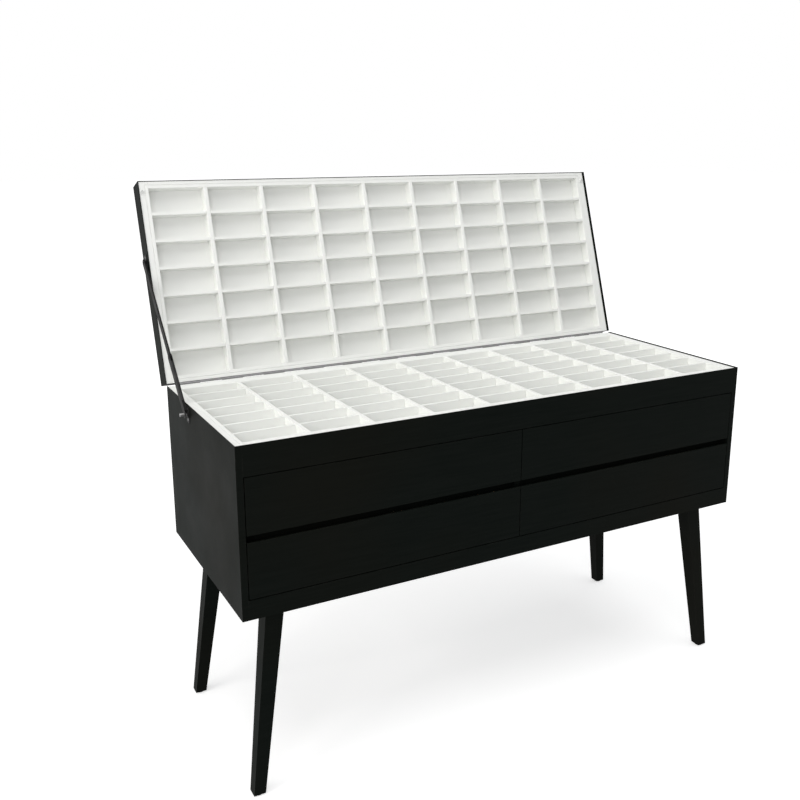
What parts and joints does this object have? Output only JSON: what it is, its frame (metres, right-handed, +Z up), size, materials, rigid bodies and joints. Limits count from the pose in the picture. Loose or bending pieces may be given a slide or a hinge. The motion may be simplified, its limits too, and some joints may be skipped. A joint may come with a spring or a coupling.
{
  "type": "eyewear display cabinet",
  "caption": "Low display cabinet on splayed legs with a divided tray in its top, a second divided tray in its hinged lid, drawers below and a folding lid stay.",
  "frame": {"origin": "centre of the carcass footprint on the floor, on the plane of the glides' undersides", "axes": "+X to the right seen from the front, along the width, +Y from the drawer fronts to the back panel, +Z up"},
  "size_m": [1.5209, 0.8056, 1.421],
  "materials": {
    "black_board": "black satin lacquer",
    "white_board": "white satin lacquer",
    "birch_plywood": "clear matt lacquer",
    "zinc_steel": "zinc plated",
    "black_steel": "black powder coat",
    "nylon": "black nylon",
    "bumper_rubber": "clear"
  },
  "bodies": {
    "carcass": {"side_panel_left": "black_board", "side_panel_right": "black_board", "back_panel": "black_board", "bottom_panel": "black_board", "top_rail": "black_board", "bottom_rail": "black_board", "finger_gap_rails": "black_board", "centre_partition": "black_board", "tray_deck": "black_board", "body_tray_floor": "white_board", "body_tray_rim": "white_board", "body_tray_column_walls": "white_board", "body_tray_row_walls": "white_board", "leg_front_left": "black_board", "leg_front_right": "black_board", "leg_back_left": "black_board", "leg_back_right": "black_board", "leg_plates": "black_steel", "leg_hanger_bolts": "zinc_steel", "leg_glides": "nylon", "hinge_leaf_carcass": "zinc_steel", "hinge_pin": "zinc_steel", "carcass_wood_screws": "zinc_steel", "carcass_dowels": "birch_plywood", "stay_carcass_bracket": "black_steel", "stay_pivot_stud": "zinc_steel", "runner_outer_members": "zinc_steel"},
    "lid": {"lid_panel": "black_board", "lid_frame_front": "black_board", "lid_frame_back": "black_board", "lid_frame_ends": "black_board", "lid_tray_floor": "white_board", "lid_tray_rim": "white_board", "lid_tray_column_walls": "white_board", "lid_tray_row_walls": "white_board", "hinge_leaf_lid": "zinc_steel", "lid_wood_screws": "zinc_steel", "stay_lid_bracket": "black_steel", "lid_bumpers": "bumper_rubber"},
    "stay_lower": {"stay_lower_link": "black_steel", "stay_lower_spacer": "black_steel", "stay_elbow_rivet": "black_steel"},
    "stay_upper": {"stay_upper_link": "black_steel", "stay_lid_rivet": "black_steel"},
    "drawer_upper_left": {"drawer_upper_left_front": "black_board", "drawer_upper_left_box": "birch_plywood", "drawer_upper_left_runner_inner": "zinc_steel"},
    "drawer_upper_right": {"drawer_upper_right_front": "black_board", "drawer_upper_right_box": "birch_plywood", "drawer_upper_right_runner_inner": "zinc_steel"},
    "drawer_lower_left": {"drawer_lower_left_front": "black_board", "drawer_lower_left_box": "birch_plywood", "drawer_lower_left_runner_inner": "zinc_steel"},
    "drawer_lower_right": {"drawer_lower_right_front": "black_board", "drawer_lower_right_box": "birch_plywood", "drawer_lower_right_runner_inner": "zinc_steel"},
    "runner_middle_upper_left": {"drawer_upper_left_runner_middle": "zinc_steel"},
    "runner_middle_upper_right": {"drawer_upper_right_runner_middle": "zinc_steel"},
    "runner_middle_lower_left": {"drawer_lower_left_runner_middle": "zinc_steel"},
    "runner_middle_lower_right": {"drawer_lower_right_runner_middle": "zinc_steel"}
  },
  "joints": [
    {"name": "lid_hinge", "type": "hinge", "parent": "carcass", "child": "lid", "pos_m": [0, 0.2869, 0.897], "axis": [1, 0, 0], "range_deg": [0, 108.5]},
    {"name": "stay_lower_turn", "type": "hinge", "parent": "carcass", "child": "stay_lower", "pos_m": [-0.7561, 0.081, 0.872], "axis": [1, 0, 0], "range_deg": [-45.77, 0.5]},
    {"name": "stay_elbow_turn", "type": "hinge", "parent": "stay_lower", "child": "stay_upper", "pos_m": [-0.7561, 0.2035, 0.99147], "axis": [1, 0, 0], "range_deg": [-0.5, 170.36]},
    {"name": "drawer_upper_left_slide", "type": "slide", "parent": "carcass", "child": "drawer_upper_left", "axis": [0, -1, 0], "range_m": [0, 0.42]},
    {"name": "runner_middle_upper_left_slide", "type": "slide", "parent": "carcass", "child": "runner_middle_upper_left", "axis": [0, -1, 0], "range_m": [0, 0.212]},
    {"name": "drawer_upper_right_slide", "type": "slide", "parent": "carcass", "child": "drawer_upper_right", "axis": [0, -1, 0], "range_m": [0, 0.42]},
    {"name": "runner_middle_upper_right_slide", "type": "slide", "parent": "carcass", "child": "runner_middle_upper_right", "axis": [0, -1, 0], "range_m": [0, 0.212]},
    {"name": "drawer_lower_left_slide", "type": "slide", "parent": "carcass", "child": "drawer_lower_left", "axis": [0, -1, 0], "range_m": [0, 0.42]},
    {"name": "runner_middle_lower_left_slide", "type": "slide", "parent": "carcass", "child": "runner_middle_lower_left", "axis": [0, -1, 0], "range_m": [0, 0.212]},
    {"name": "drawer_lower_right_slide", "type": "slide", "parent": "carcass", "child": "drawer_lower_right", "axis": [0, -1, 0], "range_m": [0, 0.42]},
    {"name": "runner_middle_lower_right_slide", "type": "slide", "parent": "carcass", "child": "runner_middle_lower_right", "axis": [0, -1, 0], "range_m": [0, 0.212]}
  ],
  "couplings": [
    {"joint": "stay_lower_turn", "follows": "lid_hinge", "ratio": -0.4163},
    {"joint": "stay_elbow_turn", "follows": "lid_hinge", "ratio": 1.5646},
    {"joint": "runner_middle_upper_left_slide", "follows": "drawer_upper_left_slide", "ratio": 0.5},
    {"joint": "runner_middle_upper_right_slide", "follows": "drawer_upper_right_slide", "ratio": 0.5},
    {"joint": "runner_middle_lower_left_slide", "follows": "drawer_lower_left_slide", "ratio": 0.5},
    {"joint": "runner_middle_lower_right_slide", "follows": "drawer_lower_right_slide", "ratio": 0.5}
  ]
}
